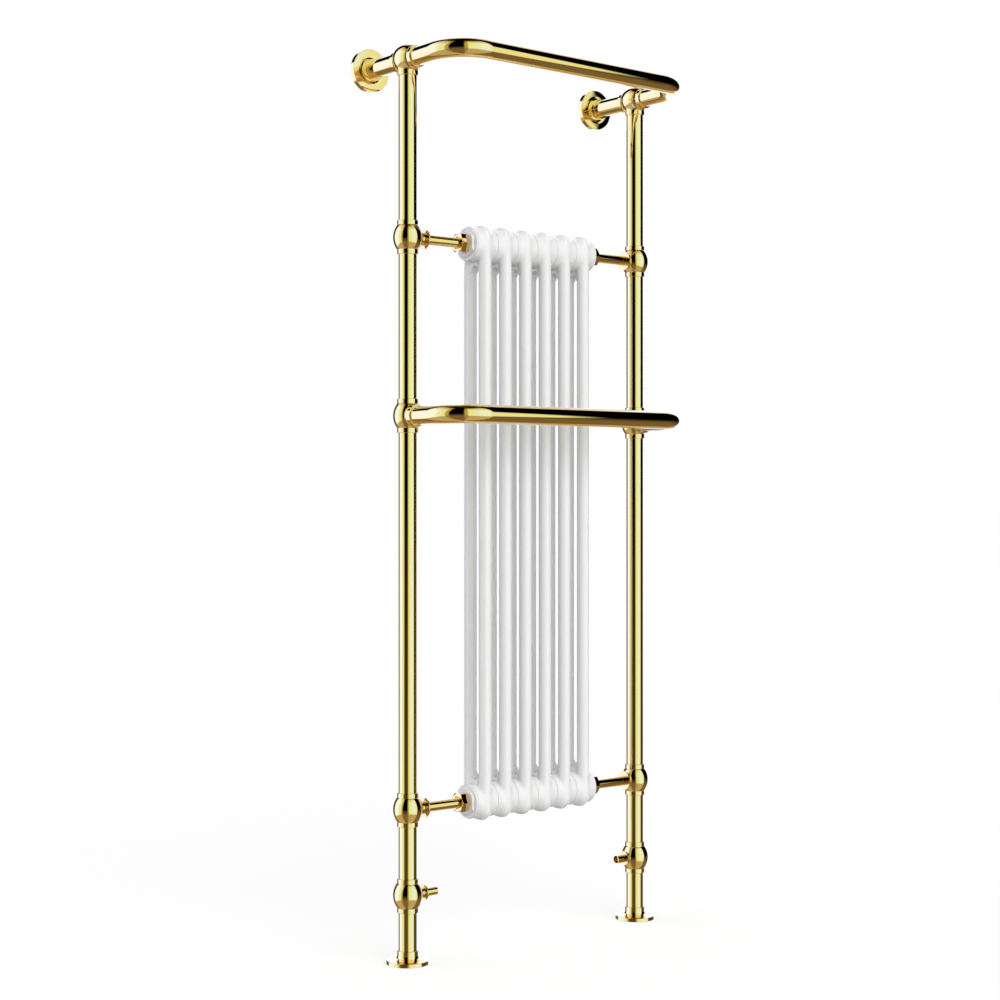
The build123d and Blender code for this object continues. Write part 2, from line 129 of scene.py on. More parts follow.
def polished_brass():
    """Mirror brass: body colour and roughness drift a little with a broad and a fine noise."""
    material = bpy.data.materials.new("polished brass")
    brass = fresh_tree(material)
    broad, fine = noise(brass, 9.0), noise(brass, 420.0, 3.0)
    colour = brass.mixed(broad, (1.0, 0.77, 0.39, 1), (0.97, 0.75, 0.37, 1))
    roughness = broad * 0.01 + fine * 0.01 + 0.01
    shader = brass.node("ShaderNodeBsdfPrincipled", {},
                        {"Base Color": colour, "Metallic": 1.0, "Roughness": roughness})
    brass.node("ShaderNodeOutputMaterial", {}, {"Surface": shader})
    return material


brass_finish = polished_brass()
brass_slot = "polished_brass"


# Post tubes and wall stays: drawn 32 mm brass tube, cut square and pushed into the balls' sockets.
tube_wall = 0.0015
tube_sides = 96
broken_edge = 0.00008


def rounded(corners, steps=4):
    """An outline from corners (r, h, rounding): each corner becomes an arc that touches both of its
    sides. A corner that names no rounding is only broken, as a file leaves it; 0 keeps it a point."""
    made = []
    flat = [np.array(corner[:2], float) for corner in corners]
    for place, corner in enumerate(corners):
        here, before, after = flat[place], flat[place - 1], flat[(place + 1) % len(flat)]
        rounding = corner[2] if len(corner) > 2 else broken_edge
        if not rounding:
            made.append(here)
            continue
        back = (before - here) / np.linalg.norm(before - here)
        on = (after - here) / np.linalg.norm(after - here)
        half = math.acos(float(np.clip(back @ on, -1, 1))) / 2
        middle = here + (back + on) / np.linalg.norm(back + on) * rounding / math.sin(half)
        touch = here + back * rounding / math.tan(half) - middle
        leave = here + on * rounding / math.tan(half) - middle
        share = np.linspace(0, 1, steps + 1)[:, None]
        arc = touch * (1 - share) + leave * share
        made.extend(middle + arc / np.linalg.norm(arc, axis=1)[:, None] * rounding)
    return np.array(made)


def smooth_normals(points):
    """Unit normals of a grid that closes on itself both ways: the cross product of the steps from the
    row before to the row after and from the column before to the column after."""
    along = np.roll(points, -1, axis=0) - np.roll(points, 1, axis=0)
    around = np.roll(points, -1, axis=1) - np.roll(points, 1, axis=1)
    normals = np.cross(along, around)
    return normals / np.maximum(np.linalg.norm(normals, axis=-1, keepdims=True), 1e-12)


def ring_shell(points):
    """A closed shell from a grid of points whose rows and columns both come back to their start:
    its points, its four-cornered faces and its outward normals."""
    rows, columns = points.shape[:2]
    index = np.arange(rows * columns).reshape(rows, columns)
    below = np.roll(index, -1, axis=0)
    faces = np.stack([index, below, np.roll(below, -1, axis=1), np.roll(index, -1, axis=1)], axis=-1)
    faces = faces.reshape(-1, 4)
    normals = smooth_normals(points).reshape(-1, 3)
    flat = points.reshape(-1, 3)
    corner = flat[faces]
    middle = flat.mean(axis=0)
    volume = np.einsum("ij,ij->", corner[:, 0] - middle, np.cross(corner[:, 1] - middle, corner[:, 2] - middle))
    volume += np.einsum("ij,ij->", corner[:, 0] - middle, np.cross(corner[:, 2] - middle, corner[:, 3] - middle))
    if volume < 0:
        return flat, faces[:, ::-1], -normals
    return flat, faces, normals


def axis_frame(direction):
    """Unit vectors for a turned piece: its axis and the two directions that its angle turns through."""
    axis = np.array(direction, float)
    first = np.array((0.0, 0.0, 1.0)) if abs(axis[2]) < 0.5 else np.array((1.0, 0.0, 0.0))
    return axis, first, np.cross(axis, first)


def turned(outline, start, direction, sides=tube_sides):
    """A lathe-turned shell. The point at angle a of outline row (r, h) is start + h along the axis
    + r (cos a, sin a) across it. The outline closes on itself, so the piece has a bore."""
    axis, first, second = axis_frame(direction)
    angle = np.arange(sides) * 2 * math.pi / sides
    radius, height = np.array(outline, float).T[:, :, None]
    across = np.cos(angle)[:, None] * first + np.sin(angle)[:, None] * second
    return ring_shell(np.array(start) + height[..., None] * axis + radius[..., None] * across)


def finished_piece(name, shells, finish, slot_name, *nodes, body="radiator_frame"):
    """Joins shells into one mesh object that stands for its CAD nodes and rides on their body."""
    counts = np.cumsum([0] + [len(shell[0]) for shell in shells])
    points = np.concatenate([shell[0] for shell in shells]).astype(np.float32)
    faces = np.concatenate([shell[1] + start for shell, start in zip(shells, counts)]).astype(np.int32)
    normals = np.concatenate([shell[2] for shell in shells])
    mesh = bpy.data.meshes.new(name)
    mesh.vertices.add(len(points))
    mesh.vertices.foreach_set("co", points.ravel())
    mesh.loops.add(faces.size)
    mesh.loops.foreach_set("vertex_index", faces.ravel())
    mesh.polygons.add(len(faces))
    mesh.polygons.foreach_set("loop_start", np.arange(0, faces.size, faces.shape[1], dtype=np.int32))
    mesh.update(calc_edges=True)
    mesh.shade_smooth()
    mesh.normals_split_custom_set_from_vertices(normals)
    mesh.materials.append(finish)
    piece = bpy.data.objects.new(name, mesh)
    bpy.context.scene.collection.objects.link(piece)
    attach(piece, body)
    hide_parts(*nodes)
    return piece


def box_of(node):
    """Lowest and highest corners and the centre of a CAD node, as arrays."""
    low, high = (np.array(corner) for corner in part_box(node))
    return low, high, (low + high) / 2


for side in ("left", "right"):
    for tube in ("foot_tube", "lower_tube", "middle_tube", "upper_tube", "top_tube", "wall_stay"):
        node = f"{side}_{tube}"
        low, high, centre = box_of(node)
        run = 1 if tube == "wall_stay" else 2
        start = centre.copy()
        start[run] = low[run]
        radius = (high[0] - low[0]) / 2
        length = high[run] - low[run]
        bore = radius - tube_wall
        outline = rounded([(radius, 0), (radius, length), (bore, length), (bore, 0)])
        finished_piece(f"{node}_drawn", [turned(outline, start, np.eye(3)[run])],
                       brass_finish, brass_slot, node)


# Towel hoops: one length of the same tube each, bent round at both front corners. The ends sit in the
# front necks of the top and middle balls.
hoop_bend = 0.062
hoop_bend_steps = 48


def carried(path, sideways, radii):
    """A tube carried along a path in a level plane: at each point of the path a circle stands on the
    sideways direction and straight up. It runs out at one radius and comes back at the other."""
    angle = np.arange(tube_sides) * 2 * math.pi / tube_sides
    up = np.array((0.0, 0.0, 1.0))
    shell = []
    for radius, order in zip(radii, (slice(None), slice(None, None, -1))):
        across = np.cos(angle)[None, :, None] * sideways[order][:, None] + np.sin(angle)[None, :, None] * up
        shell.append(path[order][:, None] + radius * across)
    return ring_shell(np.concatenate(shell))


def hoop_path(low, high, radius):
    """The hoop's middle line and its outward sideways direction: straight, a quarter circle, the front
    bar, a quarter circle and straight again."""
    left, right = low[0] + radius, high[0] - radius
    front, back = low[1] + radius, high[1]
    turn = np.linspace(0, math.pi / 2, hoop_bend_steps + 1)
    first = np.stack([-np.cos(turn), -np.sin(turn), 0 * turn], axis=-1)
    second = np.stack([np.sin(turn), -np.cos(turn), 0 * turn], axis=-1)
    height = (low[2] + high[2]) / 2
    first_middle = np.array((left + hoop_bend, front + hoop_bend, height))
    second_middle = np.array((right - hoop_bend, front + hoop_bend, height))
    path = np.concatenate([[(left, back, height)], first_middle + hoop_bend * first,
                           second_middle + hoop_bend * second, [(right, back, height)]])
    return path, np.concatenate([first[:1], first, second, second[-1:]])


for hoop in ("top_hoop", "middle_hoop"):
    low, high, centre = box_of(hoop)
    radius = (high[2] - low[2]) / 2
    path, sideways = hoop_path(low, high, radius)
    finished_piece(f"{hoop}_bent", [carried(path, sideways, (radius, radius - tube_wall))],
                   brass_finish, brass_slot, hoop)


# Ball fittings: hollow brass castings, turned to a barrel with a plain neck at each end, with a side
# neck for a hoop or post, or a small boss for a pipe. The side necks run into the ball with a fillet.
ball_radius = 0.0255
ball_half_length = 0.0205
ball_end_radius = 0.019
neck_radius = 0.0185
neck_reach = 0.0288
neck_edge = 0.0007
socket_radius = 0.0161
socket_floor = 0.0173
waterway_radius = 0.013
fillet_steps = 8
barrel_steps = 40


def barrel_radius(along):
    """Radius of the barrel at a distance from its middle: a circle's arc through its ends and crown."""
    rise = ball_radius - ball_end_radius
    arc_radius = (ball_half_length ** 2 + rise ** 2) / (2 * rise)
    along = np.clip(np.abs(along), 0, ball_half_length)
    return ball_radius - arc_radius + np.sqrt(arc_radius ** 2 - along ** 2)


def barrel(centre, direction, lower_neck=True):
    """The turned ball: barrel, step and neck at each end, tube sockets and the waterway through it."""
    along = np.linspace(-1, 1, barrel_steps) * ball_half_length
    round_part = np.stack([barrel_radius(along), along], axis=-1)
    neck = [(ball_end_radius, ball_half_length, 0), (neck_radius, ball_half_length, 0.0001),
            (neck_radius, neck_reach, neck_edge), (socket_radius, neck_reach),
            (socket_radius, socket_floor), (waterway_radius, socket_floor, 0)]
    upper = rounded(neck)[1:]
    lower = (upper * (1, -1))[::-1]
    return turned(np.concatenate([round_part, upper, lower]), centre, direction)


def side_neck(centre, ball_axis, direction, radius, reach, bore, fillet, edge):
    """A neck on the barrel's side. Its foot follows the barrel: at distance t along the ball's axis
    and s across it, the barrel stands sqrt(R(t) squared - s squared) high, and a quarter-circle
    fillet lifts the foot off it."""
    axis, out = np.array(ball_axis, float), np.array(direction, float)
    across = np.cross(out, axis)
    angle = np.arange(tube_sides) * 2 * math.pi / tube_sides
    turn = np.linspace(0.06, math.pi / 2, fillet_steps + 1)[:, None]
    foot_radius = radius + fillet * (1 - np.sin(turn))
    along, aside = foot_radius * np.cos(angle), foot_radius * np.sin(angle)
    stand = np.sqrt(np.maximum(barrel_radius(along) ** 2 - aside ** 2, 0.0))
    foot_height = np.maximum(stand, 0.25 * ball_radius) + fillet * (1 - np.cos(turn))
    top = rounded([(radius, 0, 0), (radius, reach, edge), (bore, reach), (bore, 0, 0)])[1:]
    radii = np.concatenate([foot_radius * np.ones_like(angle), top[:, :1] * np.ones_like(angle)])
    heights = np.concatenate([foot_height, top[:, 1:] * np.ones_like(angle)])
    spread = radii[..., None] * (np.cos(angle)[:, None] * axis + np.sin(angle)[:, None] * across)
    return ring_shell(np.array(centre) + heights[..., None] * out + spread)


up, front = (0, 0, 1), (0, -1, 0)
for side, inward in (("left", 1), ("right", -1)):
    low, high, post = box_of(f"{side}_middle_tube")
    for ball in ("inlet", "lower", "middle", "upper", "top"):
        node = f"{side}_{ball}_ball"
        low, high, middle = box_of(node)
        ball_axis = (0, 1, 0) if ball == "top" else up
        ball_height = high[2] - ball_radius if ball == "top" else middle[2]
        centre = (post[0], post[1], ball_height)
        shells = [barrel(centre, ball_axis)]
        if ball == "middle":
            shells.append(side_neck(centre, ball_axis, front, neck_radius, neck_reach, socket_radius,
                                    0.0012, neck_edge))
        elif ball == "top":
            shells.append(side_neck(centre, ball_axis, (0, 0, -1), neck_radius, neck_reach, socket_radius,
                                    0.0016, neck_edge))
            if side == "right":
                vent_reach = high[0] - post[0]
                shells.append(side_neck(centre, ball_axis, (1, 0, 0), 0.0086, vent_reach, 0.0041,
                                        0.001, 0.0005))
        else:
            boss_radius = 0.0092 if ball == "inlet" else 0.011
            pipe_radius = 0.0073 if ball == "inlet" else 0.0091
            boss_reach = abs((high[0] if inward > 0 else low[0]) - post[0])
            shells.append(side_neck(centre, ball_axis, (inward, 0, 0), boss_radius, boss_reach,
                                    pipe_radius, 0.0012, 0.0003))
        finished_piece(f"{node}_cast", shells, brass_finish, brass_slot, node)


# Link pipes and inlet tails: small brass pipes soldered into the balls' bosses. A flat turned disc slides
# over each boss's end and hides the joint; its face is a mirror that repeats the ball and the pipe.
link_radius = 0.009
link_bore = 0.008
link_boss = 0.011
link_flange_radius = 0.0123
link_flange_length = 0.002
tail_radius = 0.0075
tail_shank = 0.0072
tail_bore = 0.0066
tail_boss = 0.0092
fit_gap = 0.0001
disc_edge = 0.0003
disc_seat_depth = 0.0009


def lying(node, inward):
    """Foot, length and radius of a piece that lies along x; its foot is the end next to its post."""
    low, high, middle = box_of(node)
    foot = np.array((low[0] if inward > 0 else high[0], middle[1], middle[2]))
    return foot, high[0] - low[0], (high[2] - low[2]) / 2


for side, inward in (("left", 1), ("right", -1)):
    direction = (inward, 0, 0)
    for level, pipe, boss in (("lower_link", link_radius, link_boss), ("upper_link", link_radius, link_boss),
                              ("inlet", tail_shank, tail_boss)):
        node = f"{side}_{level}_collar"
        foot, thickness, rim = lying(node, inward)
        disc_face = foot[0] + inward * thickness
        bore, seat = pipe + fit_gap, boss + fit_gap
        outline = rounded([(seat, 0), (rim, 0, disc_edge), (rim, thickness, disc_edge), (bore, thickness),
                           (bore, disc_seat_depth), (seat, disc_seat_depth)])
        finished_piece(f"{node}_turned", [turned(outline, foot, direction)], brass_finish, brass_slot, node)
    node = f"{side}_inlet_tail"
    foot, length, rim = lying(node, inward)
    shank = abs(disc_face - foot[0])
    outline = rounded([(tail_shank, 0), (tail_shank, shank), (tail_radius, shank), (tail_radius, length),
                       (tail_bore, length), (tail_bore, 0)])
    finished_piece(f"{node}_drawn", [turned(outline, foot, direction)], brass_finish, brass_slot, node)
    for level in ("lower", "upper"):
        node = f"{side}_{level}_link_pipe"
        foot, length, rim = lying(node, inward)
        plain = length - link_flange_length
        outline = rounded([(link_radius, 0), (link_radius, plain), (link_flange_radius, plain),
                           (link_flange_radius, length), (link_bore, length), (link_bore, 0)])
        finished_piece(f"{node}_drawn", [turned(outline, foot, direction)], brass_finish, brass_slot, node)


# Floor flanges: turned brass covers that slide down the post over a screwed plate. A thin disc carries
# a narrow waist, a sharp flare and a plain collar round the tube.
for side in ("left", "right"):
    low, high, middle = box_of(f"{side}_floor_flange")
    foot = middle.copy()
    foot[2] = low[2]
    rim, top = (high[0] - low[0]) / 2, high[2] - low[2]
    sweep = np.linspace(0, 1, 9)[:, None]
    flare = np.array((0.0200, 0.0095)) * (1 - sweep) + np.array((0.0183, 0.0137)) * sweep
    bow = np.sin(sweep * math.pi) * np.array((-0.00028, -0.00012))
    outline = np.concatenate([
        rounded([(0.0312, 0), (rim, 0, 0.0003), (rim, 0.0065, 0.0009), (0.0173, 0.0065, 0.0003),
                 (0.0173, 0.0083), (0.0199, 0.0092, 0)])[:-1],
        flare + bow,
        rounded([(0.0183, 0.0138, 0), (0.0183, top, 0.0006), (0.0161, top), (0.0161, 0.0032),
                 (0.0312, 0.0032), (0.0312, 0.001, 0)])[1:-1]])
    finished_piece(f"{side}_floor_flange_turned", [turned(outline, foot, up, 160)],
                   brass_finish, brass_slot, f"{side}_floor_flange")


# Wall flanges: turned brass covers on the stays. A deep rim stands against the wall, its nearly flat face
# drops through a cove to the foot of a plain collar.
for side in ("left", "right"):
    low, high, middle = box_of(f"{side}_wall_flange")
    foot = middle.copy()
    foot[1] = high[1]
    rim, top = (high[0] - low[0]) / 2, high[1] - low[1]
    sweep = np.linspace(0, 1, 9)[:, None]
    cove = np.array((0.0230, 0.0098)) * (1 - sweep) + np.array((0.0188, 0.0080)) * sweep
    hollow = 4 * sweep * (1 - sweep) * np.array((-0.0001, -0.0002))
    face = np.array((rim - 0.0007, 0.0096)) * (1 - sweep) + np.array((0.0246, 0.0099)) * sweep
    belly = 4 * sweep * (1 - sweep) * np.array((0, 0.00008))
    outline = np.concatenate([
        rounded([(0.0312, 0), (rim, 0, 0.0003), (rim, 0.0096, 0.0006), (rim - 0.001, 0.0096)])[:-5],
        face + belly,
        rounded([(0.0246, 0.0099, 0), (0.0238, 0.0096, 0), (0.0230, 0.0098, 0)])[1:-1],
        cove + hollow,
        rounded([(0.0185, 0.0080, 0), (0.0185, top, 0.0006), (0.0161, top), (0.0161, 0.0032),
                 (0.0312, 0.0032), (0.0312, 0.001, 0)])[:-1]])
    finished_piece(f"{side}_wall_flange_turned", [turned(outline, foot, front, 160)],
                   brass_finish, brass_slot, f"{side}_wall_flange")


# Union nuts: hexagonal brass nuts. A bevel turned round the outer end cuts the flats in arcs, and the hole
# for the link pipe is countersunk; the pipe's flange and its washer sit in a pocket inside.
def hexagon(flats, first_corner, corner_edge=0.0003, flat_steps=10):
    """Angles and distances of the points round a hexagon whose corners are slightly rounded."""
    turn = first_corner + np.arange(7) * math.pi / 3
    corners = flats / math.sqrt(3) * np.stack([np.cos(turn), np.sin(turn)], axis=-1)
    points = []
    for here, after in zip(corners[:-1], corners[1:]):
        points.append((*here, corner_edge))
        points.extend((*(here + (after - here) * step / flat_steps), 0) for step in range(1, flat_steps))
    points = rounded(points)
    return np.arctan2(points[:, 1], points[:, 0]), np.hypot(points[:, 0], points[:, 1])


def milled(outline_at, start, direction, flats, first_corner):
    """A hexagonal shell. At each angle its outline is the one for the hexagon's reach there, so a
    bevel turned round the axis meets the flats in arcs."""
    axis, first, second = axis_frame(direction)
    angle, reach = hexagon(flats, first_corner)
    outlines = np.array([rounded(outline_at(distance)) for distance in reach])
    radius, height = outlines[..., 0].T[..., None], outlines[..., 1].T[..., None]
    across = np.cos(angle)[:, None] * first + np.sin(angle)[:, None] * second
    return ring_shell(np.array(start) + height * axis + radius * across)


nut_flats = 0.031
nut_length = 0.016
nut_bevel_radius = 0.0147
nut_bevel_slope = 0.5
nut_hole = 0.0091
nut_countersink = 0.0111
nut_pocket = 0.0125
nut_pocket_depth = 0.0127
low, high, block_middle = box_of("union_nuts")
low_section, high_section, section_middle = box_of("radiator_section_1")
bush_low, bush_high, bush_middle = box_of("end_bushes")
hub_heights = (low[2] + nut_flats / 2, high[2] - nut_flats / 2)


def nut_outline(reach):
    bevel = (reach - nut_bevel_radius) * nut_bevel_slope
    return [(nut_pocket, 0), (reach, 0), (reach, nut_length - bevel), (nut_bevel_radius, nut_length),
            (nut_countersink, nut_length), (nut_hole, nut_length - 0.002), (nut_hole, nut_pocket_depth),
            (nut_pocket, nut_pocket_depth)]


shells = []
for sign, outer in ((-1, low[0]), (1, high[0])):
    for height in hub_heights:
        foot = (outer - sign * nut_length, block_middle[1], height)
        shells.append(milled(nut_outline, foot, (sign, 0, 0), nut_flats, math.pi / 6))
finished_piece("union_nuts_milled", shells, brass_finish, brass_slot, "union_nuts")


# Radiator sections: cast and welded steel, two 22 mm columns bent together over round hubs, stove
# enamelled white. The enamel runs into every joint, so columns, hubs and webs flow into each other.
def white_enamel():
    """Glossy white enamel: a clear skin over white, with a faint orange peel."""
    material = bpy.data.materials.new("white enamel")
    enamel = fresh_tree(material)
    broad, peel = noise(enamel, 14.0), noise(enamel, 260.0, 1.0)
    colour = enamel.mixed(broad, (0.80, 0.80, 0.795, 1), (0.78, 0.78, 0.775, 1))
    skin = enamel.node("ShaderNodeBump", {}, {"Strength": 0.04, "Distance": 0.0004, "Height": peel})
    shader = enamel.node("ShaderNodeBsdfPrincipled", {},
                         {"Base Color": colour, "Roughness": broad * 0.04 + 0.16, "Normal": skin,
                          "Coat Weight": 0.6, "Coat Roughness": 0.05})
    enamel.node("ShaderNodeOutputMaterial", {}, {"Surface": shader})
    return material


enamel_finish = white_enamel()
enamel_slot = "white_enamel"
column_radius = 0.011
column_spacing = 0.041
head_rise = 0.0225
head_bend = 0.011
hub_radius = 0.0302
hub_round = 0.0012
hub_bore = 0.015
web_half = 0.0075
slot_start = 0.036
arch_radius = column_spacing / 2 - column_radius
joint_blend = 0.008
web_blend = 0.007
section_half = (high_section[0] - low_section[0]) / 2
post_y = section_middle[1]


def blended(first, second, reach):
    """Smooth union of two distances: the smaller one, less a soft share where they are close."""
    near = np.clip(reach - np.abs(first - second), 0, None) / reach
    return np.minimum(first, second) - near ** 3 * reach / 6


def section_distance(x, y, z):
    """Distance to a section's skin, below 0 inside. The tube loop is a rounded rectangle with a circle
    carried round it, the hubs are drums on the x axis, and a web fills each end of the loop down to the
    slot's round arch."""
    level = np.abs(z - (hub_heights[0] + hub_heights[1]) / 2) - (hub_heights[1] - hub_heights[0]) / 2
    half = np.array((column_spacing / 2, head_rise))
    side = np.abs(y) - (half[0] - head_bend)
    rise = level - (half[1] - head_bend)
    loop = np.hypot(np.maximum(side, 0), np.maximum(rise, 0)) + np.minimum(np.maximum(side, rise), 0) - head_bend
    tube = np.hypot(loop, x) - column_radius
    out = np.hypot(y, level) - (hub_radius - hub_round)
    past = np.abs(x) - (section_half - hub_round)
    hub = np.hypot(np.maximum(out, 0), np.maximum(past, 0)) + np.minimum(np.maximum(out, past), 0) - hub_round
    arch = arch_radius - np.hypot(y, level + slot_start + arch_radius)
    plate = np.maximum(np.abs(y) - column_spacing / 2, np.abs(level + slot_start / 2) - slot_start / 2 - arch_radius)
    web = np.maximum(np.maximum(plate, arch), np.abs(x) - web_half)
    skin = blended(blended(tube, web, web_blend), hub, joint_blend)
    return np.maximum(skin, hub_bore - np.hypot(y, level))


def cast_shell(distance, x, y, z):
    """The surface where distance is 0, on a grid of cells: each cell that it crosses gets a point, the
    mean of the crossings on the cell's edges, and each crossed edge joins its four cells with a face.
    The points then slide down the distance's slope on to the surface."""
    grid = np.stack(np.meshgrid(x, y, z, indexing="ij"), axis=-1)
    value = distance(grid[..., 0], grid[..., 1], grid[..., 2])
    cells = tuple(size - 1 for size in value.shape)
    total, count = np.zeros((*cells, 3)), np.zeros(cells)
    crossed = []
    for axis in range(3):
        near = [slice(None)] * 3
        far = [slice(None)] * 3
        near[axis], far[axis] = slice(None, -1), slice(1, None)
        a, b = value[tuple(near)], value[tuple(far)]
        cut = (a < 0) != (b < 0)
        share = np.where(cut, a / np.where(cut, a - b, 1), 0)[..., None]
        where = (grid[tuple(near)] * (1 - share) + grid[tuple(far)] * share) * cut[..., None]
        crossed.append((cut, a < 0))
        others = [other for other in range(3) if other != axis]
        for one in (slice(None, -1), slice(1, None)):
            for two in (slice(None, -1), slice(1, None)):
                pick = [slice(None)] * 3
                pick[others[0]], pick[others[1]] = one, two
                total += where[tuple(pick)]
                count += cut[tuple(pick)]
    used = count > 0
    number = np.full(cells, -1)
    number[used] = np.arange(used.sum())
    points = total[used] / count[used][:, None]
    faces = []
    for axis, (cut, inside) in enumerate(crossed):
        one, two = [other for other in range(3) if other != axis]
        inner = [slice(None)] * 3
        inner[one] = inner[two] = slice(1, -1)
        place = np.argwhere(cut[tuple(inner)]) + [int(other != axis) for other in range(3)]
        corners = []
        for step_one, step_two in ((1, 1), (0, 1), (0, 0), (1, 0)):
            cell = place.copy()
            cell[:, one] -= step_one
            cell[:, two] -= step_two
            corners.append(number[tuple(cell.T)])
        quad = np.stack(corners, axis=-1)
        turned_over = inside[tuple(place.T)] == (axis == 1)
        quad[turned_over] = quad[turned_over][:, ::-1]
        faces.append(quad)
    small = 1e-5
    for _ in range(4):
        slope = np.stack([distance(*(points + step).T) - distance(*(points - step).T)
                          for step in np.eye(3) * small], axis=-1) / (2 * small)
        size = np.maximum(np.einsum("ij,ij->i", slope, slope), 0.1)
        points = points - slope * (distance(*points.T) / size)[:, None]
    normals = slope / np.linalg.norm(slope, axis=1)[:, None]
    return points, np.concatenate(faces), normals


fine_step = 0.00115
edge_step = 0.0004
head_reach = hub_heights[0] - low_section[2]
lead = np.arange(0, section_half - 0.002, fine_step)
rim_x = np.arange(lead[-1] + edge_step, section_half + 2 * edge_step, edge_step)
half_x = np.concatenate([lead, rim_x])
grid_x = np.concatenate([-half_x[:0:-1], half_x])
reach_y = (high_section[1] - low_section[1]) / 2
grid_y = np.linspace(-1, 1, 2 * round((reach_y + 2 * fine_step) / fine_step)) * (reach_y + 2 * fine_step)
head_z = np.arange(-head_reach - 2 * fine_step, slot_start + 0.016, fine_step)
grid_z = np.concatenate([hub_heights[0] + head_z,
                         np.linspace(hub_heights[0] + 0.08, hub_heights[1] - 0.08, 6),
                         hub_heights[1] - head_z[::-1]])
section_points, section_faces, section_normals = cast_shell(section_distance, grid_x, grid_y, grid_z)
for number in range(1, 7):
    node = f"radiator_section_{number}"
    low, high, middle = box_of(node)
    placed = section_points + (middle[0], middle[1], 0)
    finished_piece(f"{node}_enamelled", [(placed, section_faces, section_normals)],
                   enamel_finish, enamel_slot, node)


# End bushes: white hexagonal bushes screwed into the four open hubs. A round collar seals on the hub,
# the hexagon stands on it and a nose carries the union nut.
bush_flats = 0.0434
bush_thread = 0.0149
bush_collar = 0.0293
bush_nose = 0.0124
bush_bore = 0.008
bush_bevel_radius = 0.0222
bush_bevel_slope = 0.45
bush_depths = (0.012, 0.0144, 0.0189, 0.0279)


def bush_outline(reach):
    inner, seat, face, end = bush_depths
    bevel = max(reach - bush_bevel_radius, 0) * bush_bevel_slope
    return [(bush_thread, 0), (bush_thread, inner), (bush_collar, inner, 0.0003), (bush_collar, seat, 0.0008),
            (reach, seat, 0.0003), (reach, face - 0.0003 - bevel, 0.0002),
            (min(reach, bush_bevel_radius) - 0.0003, face, 0.0002), (bush_nose, face), (bush_nose, end),
            (bush_bore, end), (bush_bore, 0)]


shells = []
for sign, outer in ((-1, bush_low[0]), (1, bush_high[0])):
    for height in hub_heights:
        foot = (outer - sign * bush_depths[-1], bush_middle[1], height)
        shells.append(milled(bush_outline, foot, (sign, 0, 0), bush_flats, 0))
finished_piece("end_bushes_enamelled", shells, enamel_finish, enamel_slot, "end_bushes")


# Air vent: a brass plug on the right top ball with a hexagon for a spanner and a recessed face. The
# square-headed steel bleed screw turns in it.
vent_flats = 0.013
low, high, middle = box_of("air_vent_body")
vent_foot = (low[0], middle[1], middle[2])
vent_end = high[0] - low[0]


def vent_outline(reach):
    bevel = (reach - vent_flats / 2) * 0.5
    return [(0.00225, 0), (0.004, 0), (0.004, 0.006), (vent_flats / 2 - 0.0003, 0.006),
            (reach, 0.006 + bevel + 0.0002), (reach, 0.0096 - bevel - 0.0002),
            (vent_flats / 2 - 0.0003, 0.0096), (0.0052, 0.0096), (0.0052, vent_end, 0.0003),
            (0.0039, vent_end), (0.0039, 0.0088), (0.00225, 0.0088)]


finished_piece("air_vent_body_milled", [milled(vent_outline, vent_foot, (1, 0, 0), vent_flats, 0)],
               brass_finish, brass_slot, "air_vent_body")


# Hidden steel pieces: machined fixing plates, hub nipples and the bleed screw, with turning marks.
def machined_steel():
    """Plain steel: grey with fine streaks from the tool and a patchy roughness."""
    material = bpy.data.materials.new("machined steel")
    steel = fresh_tree(material)
    broad, marks = noise(steel, 60.0, 3.0), noise(steel, 900.0)
    colour = steel.mixed(broad, (0.62, 0.61, 0.60, 1), (0.52, 0.52, 0.52, 1))
    cut = steel.node("ShaderNodeBump", {}, {"Strength": 0.15, "Distance": 0.0002, "Height": marks})
    shader = steel.node("ShaderNodeBsdfPrincipled", {},
                        {"Base Color": colour, "Metallic": 1.0, "Roughness": broad * 0.15 + 0.28,
                         "Normal": cut})
    steel.node("ShaderNodeOutputMaterial", {}, {"Surface": shader})
    return material


def pressed_fibre():
    """Pale grey sealing fibre with a coarse speckle."""
    material = bpy.data.materials.new("pressed fibre")
    fibre = fresh_tree(material)
    speckle = noise(fibre, 700.0, 4.0)
    colour = fibre.mixed(speckle, (0.55, 0.55, 0.54, 1), (0.40, 0.40, 0.39, 1))
    shader = fibre.node("ShaderNodeBsdfPrincipled", {},
                        {"Base Color": colour, "Roughness": speckle * 0.2 + 0.7})
    fibre.node("ShaderNodeOutputMaterial", {}, {"Surface": shader})
    return material


steel_nodes = ["left_floor_plate", "right_floor_plate", "left_wall_plate", "right_wall_plate",
               "section_nipples", "bleed_screw"]
steel_finish, fibre_finish = machined_steel(), pressed_fibre()
for finish, nodes in ((steel_finish, steel_nodes), (fibre_finish, ["section_gaskets", "union_washers"])):
    for node in nodes:
        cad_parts[node].data.materials.clear()
        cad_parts[node].data.materials.append(finish)


# The studio: a plain pale floor that keeps the radiator's shadow, under white surroundings. What the
# metal mirrors is the same white room, with tall black screens and a darker lower half.
def pale_floor():
    """A floor that reads white to the camera where it is lit, and keeps its shade elsewhere."""
    material = bpy.data.materials.new("pale floor")
    floor = fresh_tree(material)
    seen = floor.node("ShaderNodeLightPath", {}, {}, "Is Camera Ray")
    lit = floor.node("ShaderNodeBsdfDiffuse", {}, {"Color": (0.36, 0.36, 0.36, 1)})
    glow = floor.node("ShaderNodeEmission", {}, {"Strength": seen * 0.54 + 0.15})
    both = floor.node("ShaderNodeAddShader", {}, {0: lit, 1: glow})
    floor.node("ShaderNodeOutputMaterial", {}, {"Surface": both})
    return material


